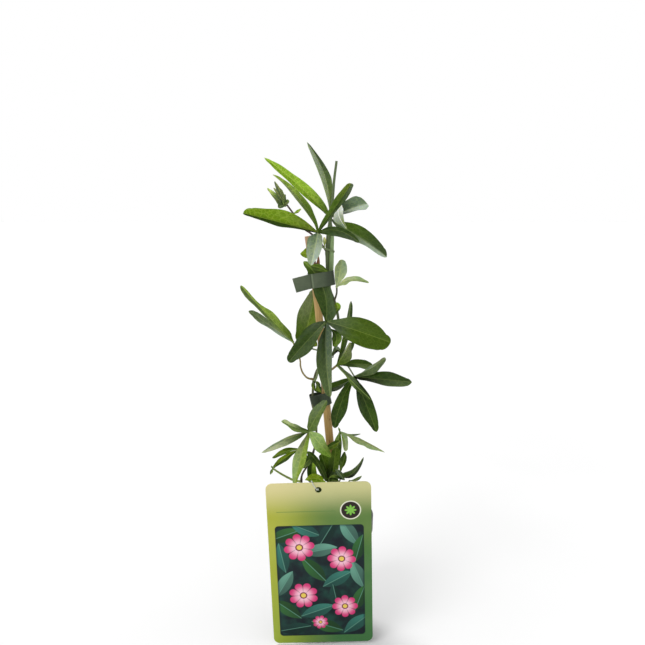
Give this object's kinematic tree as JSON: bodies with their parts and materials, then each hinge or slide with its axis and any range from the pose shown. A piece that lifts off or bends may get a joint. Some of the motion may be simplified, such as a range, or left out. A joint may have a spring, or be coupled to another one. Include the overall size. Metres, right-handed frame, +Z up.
{
  "type": "potted passion flower vine",
  "caption": "Young evergreen climbing vine with narrow-lobed palmate leaves, tied to a bamboo cane in a round nursery pot, with a plant label leaning on the rim.",
  "frame": {"origin": "centre of the pot's base, on the floor", "axes": "+Z up, -Y towards the side the label faces, +X to the right seen from that side"},
  "size_m": [0.1485, 0.104, 0.4403],
  "materials": {
    "pot": "satin black moulded plastic",
    "soil": "dark crumbly peat",
    "cane": "smooth tan bamboo",
    "stem": "green stem, brown and woody at its foot",
    "leaf": "leathery dark green with a waxy sheen",
    "young_leaf": "soft matte grey-green",
    "yellow_leaf": "soft yellow-green",
    "tie": "dark grey-green plant tape",
    "label": "smooth printed plastic sheet",
    "loop": "clear flexible plastic thread"
  },
  "bodies": {
    "root": {"pot": "pot", "soil": "soil", "cane": "cane", "vine_main": "stem", "shoot_base": "leaf", "shoot_tip_left": "young_leaf", "shoot_low_left": "young_leaf", "leaf_top_front": "leaf", "leaf_top_back": "leaf", "leaf_tie_young": "young_leaf", "leaf_left_high": "leaf", "leaf_behind_cane": "leaf", "leaf_centre": "leaf", "leaf_right_high": "leaf", "leaf_right_low": "leaf", "leaf_low_left": "young_leaf", "leaf_low_left_small": "leaf", "leaf_base_yellow": "yellow_leaf", "tie_upper": "tie", "tie_lower": "tie", "label": "label", "tag_loop": "loop"}
  },
  "joints": []
}
